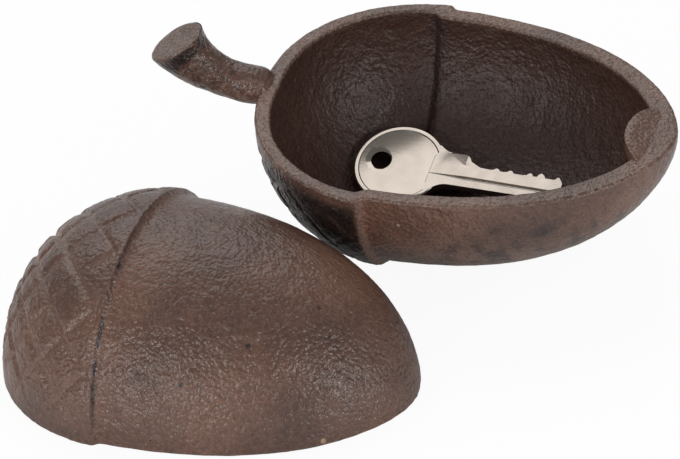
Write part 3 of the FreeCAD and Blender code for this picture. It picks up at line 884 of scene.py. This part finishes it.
def makeCamera():
    azimuth, elevation, roll = (math.radians(camera[k]) for k in ("azimuth", "elevation", "roll"))
    ahead = math.cos(elevation)
    back = Vector((math.sin(azimuth) * ahead, -math.cos(azimuth) * ahead, math.sin(elevation)))
    right = Vector((math.cos(azimuth), math.sin(azimuth), 0))
    up = back.cross(right)
    level = right * math.cos(roll) - up * math.sin(roll)
    upright = right * math.sin(roll) + up * math.cos(roll)
    clearSelection()
    bpy.ops.object.camera_add()
    seer = bpy.context.object
    seer.matrix_world = Matrix((level, upright, back)).transposed().to_4x4()
    aside = level * camera["right"] + upright * camera["up"]
    seer.location = (Vector(camera["aim"]) + back * camera["distance"] + aside) * mm
    seer.data.lens = camera["lens"]
    seer.data.sensor_width = camera["sensor"]
    seer.data.clip_start = camera["nearest"] * mm
    seer.data.clip_end = camera["farthest"] * mm
    bpy.context.scene.camera = seer


makeCamera()
bpy.context.scene.view_settings.view_transform = "Standard"

# cast iron from a sand mould under a thin oiled patina: a warm dark brown, dull in its hollows, with a satin
# glint on the grain of its skin. Sizes and heights are in mm. The finest sand is drawn as coarse as it shows.
iron = {
    # the pale coat holds painted highlights and painted bounce light besides wear; the cavity's coat, darker
    # patina with painted shade
    "deep": "#4d372f", "warm": "#664a3d", "rust": "#664639", "patinaAndShade": "#3b251e", "paleWearAndPaintedLight": "#7c695f",
    # the near-black coat holds painted shade and painted shadow besides smut, pits and flecks
    "darkStainAndShade": "#1c1716", "worn": "#7a6052", "chip": "#a58a70",
    "noises": {  # lump size, detail, roughness and twist
        "patch": (26, 3, 0.5, 0), "rustPatch": (11, 4, 0.6, 0.8), "darkMottle": (2.5, 3, 0.5, 0),
        "grain": (1, 2, 0.6, 0), "speck": (0.7, 1, 0.5, 0), "gloss": (6, 3, 0.5, 0),
        "swell": (3.6, 2, 0.5, 0), "ripple": (1, 1.3, 0.5, 0)},
    "pore": 7,
    "ramps": {  # what each reads, the two levels that it runs between, and its values there
        "warm": ("patch", 0.35, 0.65, 0, 1), "rusty": ("rustPatch", 0.5, 0.75, 0, 0.22),
        "paleWearAndPaintedLightShare": ("grain", 0.3, 0.7, 0.1, 0.6), "shadeAndStainShare": ("darkMottle", 0.3, 0.6, 0.7, 1),
        "pits": ("pores", 0.035, 0.06, 1, 0), "flakes": ("speck", 0.68, 0.74, 0, 1),
        "flakePart": ("pale", 0, 1, 0.12, 0.8), "shade": ("grain", 0.3, 0.7, 0.72, 1.28),
        "roughness": ("gloss", 0.3, 0.7, 0.28, 0.37), "relief": ("cavity", 0, 1, 1, 0.75)},
    # the colour named worn makes the carved grooves' bottoms paler, by this share of their carving
    "cornerRust": 0.3, "patinaAndShadeShare": 0.95, "paleGrooves": 0.45, "pitDark": 0.8, "cavityRoughness": 0.16,
    "bumps": (("swell", 1.0, 0.7), ("ripple", "relief", 0.5), ("speck", 0.6, 0.12)),  # noise, strength, height
    # single pits and chips, each kind with its strength, and with places on the acorn's own axis and widths
    "spotEdge": (0.35, 0.6),
    "spots": {
        "pits": (1, (((64.6, -36.3, 19.6), 1.3), ((79.9, -25.1, 27.7), 1.6), ((92.8, -7.2, 30.4), 1.2),
                     ((56.5, -24.4, 34.6), 0.9))),
        "chips": (0.8, (((99.7, -26, 1.7), 1.6), ((50, -42, -8.3), 1.0)))},
}


def makeIron():
    # reads the marks that lie on the castings' points. A colour mix has its share at input 0, its colours at
    # inputs 6 and 7, and its result at output 2.
    material = bpy.data.materials.new("cast iron, brown patina")
    material.use_nodes = True
    tree = material.node_tree
    shader = tree.nodes["Principled BSDF"]
    place = addNode(tree, "ShaderNodeAttribute", attribute_name="castPlace").outputs["Vector"]
    marks = addNode(tree, "ShaderNodeAttribute", attribute_name="marks").outputs["Vector"]
    pores = addNode(tree, "ShaderNodeTexVoronoi", {"Vector": place, "Scale": 1 / (iron["pore"] * mm)})
    level = {"pores": pores.outputs["Distance"]}
    shades = addNode(tree, "ShaderNodeSeparateXYZ", {"Vector": marks})
    level["pale"], level["black"], level["rust"] = shades.outputs
    for name in ("cavity", "carved"):
        level[name] = addNode(tree, "ShaderNodeAttribute", attribute_name=name).outputs["Fac"]
    for name, (size, detail, rough, twist) in iron["noises"].items():
        level[name] = addNode(tree, "ShaderNodeTexNoise", {
            "Vector": place, "Scale": 1 / (size * mm), "Detail": detail, "Roughness": rough,
            "Distortion": twist}).outputs["Fac"]
    for name, (source, low, high, least, most) in iron["ramps"].items():
        level[name] = addNode(tree, "ShaderNodeMapRange", {
            "Value": level[source], "From Min": low, "From Max": high, "To Min": least,
            "To Max": most}).outputs["Result"]
    for name, one, two in (
            ("corner", level["rust"], iron["cornerRust"]), ("patinaAndShade", level["cavity"], iron["patinaAndShadeShare"]),
            ("paleWearAndPaintedLight", level["pale"], level["paleWearAndPaintedLightShare"]), ("shadeAndStain", level["black"], level["shadeAndStainShare"]),
            ("rubbed", level["carved"], iron["paleGrooves"]), ("chips", level["flakes"], level["flakePart"]),
            ("dull", level["cavity"], iron["cavityRoughness"])):
        level[name] = addNode(tree, "ShaderNodeMath", {0: one, 1: two}, operation="MULTIPLY").outputs[0]
    for kind, (most, spots) in iron["spots"].items():
        for where, width in spots:
            away = addNode(tree, "ShaderNodeVectorMath", {0: place, 1: Vector(where) * mm},
                           operation="DISTANCE").outputs["Value"]
            core, rim = (share * width * mm for share in iron["spotEdge"])
            spot = addNode(tree, "ShaderNodeMapRange", {
                "Value": away, "From Min": core, "From Max": rim, "To Min": most, "To Max": 0})
            level[kind] = addNode(tree, "ShaderNodeMath", {0: level[kind], 1: spot.outputs["Result"]},
                                  operation="MAXIMUM", use_clamp=True).outputs[0]
    rusted = addNode(tree, "ShaderNodeMath", {0: level["rusty"], 1: level["corner"]},
                     operation="MAXIMUM", use_clamp=True).outputs[0]
    pitted = addNode(tree, "ShaderNodeMath", {0: level["pits"], 1: iron["pitDark"]},
                     operation="MULTIPLY").outputs[0]
    colour = linearColour(iron["deep"])
    # the coats go on in turn: the pale one lays painted highlights, the near-black one painted shade and
    # shadow
    for share, coat in ((level["warm"], "warm"), (rusted, "rust"), (level["patinaAndShade"], "patinaAndShade"),
                        (level["paleWearAndPaintedLight"], "paleWearAndPaintedLight"), (level["shadeAndStain"], "darkStainAndShade"), (level["rubbed"], "worn"),
                        (pitted, "darkStainAndShade"), (level["chips"], "chip")):
        colour = addNode(tree, "ShaderNodeMix", {0: share, 6: colour, 7: linearColour(iron[coat])},
                         data_type="RGBA").outputs[2]
    shade = addNode(tree, "ShaderNodeCombineColor", {channel: level["shade"] for channel in range(3)})
    colour = addNode(tree, "ShaderNodeMix", {0: 1.0, 6: colour, 7: shade.outputs[0]},
                     data_type="RGBA", blend_type="MULTIPLY").outputs[2]
    tree.links.new(colour, shader.inputs["Base Color"])
    roughness = addNode(tree, "ShaderNodeMath", {0: level["roughness"], 1: level["dull"]}, operation="ADD")
    tree.links.new(roughness.outputs[0], shader.inputs["Roughness"])
    under = {}
    for name, strength, height in iron["bumps"]:
        bump = addNode(tree, "ShaderNodeBump", {
            "Height": level[name], "Strength": level.get(strength, strength),  # a level's name, or a number
            "Distance": height * mm, **under})
        under = {"Normal": bump.outputs[0]}
    tree.links.new(bump.outputs[0], shader.inputs["Normal"])
    return material


# nickel silver, stamped and tumbled: a warm pale metal that mirrors the room softly, under fine scratches that
# run along the floor's X, with sizes in mm
nickelSilver = {"metal": "#b8aea4", "dull": "#a39990", "tarnish": 5, "roughness": (0.09, 0.18),
                "scratch": 0.25, "scratchLength": 9, "scratchHeight": 0.02, "scratchStrength": 0.3}


def makeNickelSilver():
    material = bpy.data.materials.new("nickel silver, tumbled")
    material.use_nodes = True
    tree = material.node_tree
    shader = tree.nodes["Principled BSDF"]
    place = addNode(tree, "ShaderNodeTexCoord").outputs["Object"]
    tarnish = addNode(tree, "ShaderNodeTexNoise", {
        "Vector": place, "Scale": 1 / (nickelSilver["tarnish"] * mm), "Detail": 4}).outputs["Fac"]
    finer = 1 / (nickelSilver["scratch"] * mm)
    stretched = addNode(tree, "ShaderNodeMapping", {
        "Vector": place, "Scale": (1 / (nickelSilver["scratchLength"] * mm), finer, finer)})
    scratches = addNode(tree, "ShaderNodeTexNoise", {"Vector": stretched.outputs[0], "Scale": 1, "Detail": 2})
    metal, dull = linearColour(nickelSilver["metal"]), linearColour(nickelSilver["dull"])
    colour = addNode(tree, "ShaderNodeMix", {0: tarnish, 6: metal, 7: dull}, data_type="RGBA")
    tree.links.new(colour.outputs[2], shader.inputs["Base Color"])
    shader.inputs["Metallic"].default_value = 1
    least, most = nickelSilver["roughness"]
    rough = addNode(tree, "ShaderNodeMapRange", {"Value": tarnish, "To Min": least, "To Max": most})
    tree.links.new(rough.outputs["Result"], shader.inputs["Roughness"])
    bump = addNode(tree, "ShaderNodeBump", {
        "Height": scratches.outputs["Fac"], "Strength": nickelSilver["scratchStrength"],
        "Distance": nickelSilver["scratchHeight"] * mm})
    tree.links.new(bump.outputs[0], shader.inputs["Normal"])
    return material


ironSkin = makeIron()
for piece in (baseHalf, lidHalf, stemBar, locatingLug):
    piece.data.materials.clear()
    piece.data.materials.append(ironSkin)
houseKey.data.materials.clear()
houseKey.data.materials.append(makeNickelSilver())
print("materials made")

# the studio, with sizes in mm, power in watts and light as shares of full white
studio = {
    "floor": 6000, "bounced": "#f4f4f4", "lit": "#f6f6f6", "glow": 0.93, "room": 0.46, "roomInGloss": 0.22,
    "lamps": (
        {"name": "overhead", "toward": (-0.5, 0.8, 1), "reach": 1300, "width": 1400, "power": 9.5},
        {"name": "front left", "toward": (-0.35, -0.9, 0.34), "reach": 1300, "width": 500, "power": 6.3},
        {"name": "front right", "toward": (0.86, -0.42, 0.32), "reach": 1300, "width": 420, "power": 6},
    ),
}


def makeFloor():
    # white paper, nearly burnt out to the camera with a faint shadow, that bounces less light than it shows
    clearSelection()
    bpy.ops.mesh.primitive_plane_add(size=studio["floor"] * mm, location=(0, 0, 0))
    floor = bpy.context.object
    floor.name = "floor"
    paper = bpy.data.materials.new("white paper sweep")
    paper.use_nodes = True
    sheet = paper.node_tree
    seen = addNode(sheet, "ShaderNodeLightPath").outputs["Is Camera Ray"]
    bounced = addNode(sheet, "ShaderNodeBsdfDiffuse", {"Color": linearColour(studio["bounced"])})
    lit = addNode(sheet, "ShaderNodeBsdfDiffuse", {"Color": linearColour(studio["lit"])})
    glow = addNode(sheet, "ShaderNodeEmission", {"Color": (1, 1, 1, 1), "Strength": 1})
    shown = addNode(sheet, "ShaderNodeMixShader", {0: studio["glow"], 1: lit.outputs[0], 2: glow.outputs[0]})
    mixed = addNode(sheet, "ShaderNodeMixShader", {0: seen, 1: bounced.outputs[0], 2: shown.outputs[0]})
    sheet.links.new(mixed.outputs[0], sheet.nodes["Material Output"].inputs["Surface"])
    floor.data.materials.append(paper)


def makeRoom():
    # white to the camera, dimmer as light, and dimmer still in reflections
    world = bpy.context.scene.world or bpy.data.worlds.new("studio")
    bpy.context.scene.world = world
    world.use_nodes = True
    room = world.node_tree
    rays = addNode(room, "ShaderNodeLightPath").outputs
    plain = addNode(room, "ShaderNodeMapRange", {
        "Value": rays["Is Glossy Ray"], "To Min": studio["room"], "To Max": studio["roomInGloss"]})
    level = addNode(room, "ShaderNodeMapRange", {
        "Value": rays["Is Camera Ray"], "To Min": plain.outputs["Result"], "To Max": 1.0})
    room.nodes["Background"].inputs["Color"].default_value = (1, 1, 1, 1)
    room.links.new(level.outputs["Result"], room.nodes["Background"].inputs["Strength"])


def softLamp(name, toward, reach, width, power):
    # a square softbox in a direction from the middle of the group
    spot = Vector(toward).normalized() * reach
    clearSelection()
    bpy.ops.object.light_add(type="AREA", location=spot * mm)
    lamp = bpy.context.object
    lamp.name = name
    lamp.data.shape = "SQUARE"
    lamp.data.size = width * mm
    lamp.data.energy = power
    lamp.rotation_euler = (-spot).to_track_quat("-Z", "Y").to_euler()


makeFloor()
makeRoom()
for lampSettings in studio["lamps"]:
    softLamp(**lampSettings)
print("studio lit")
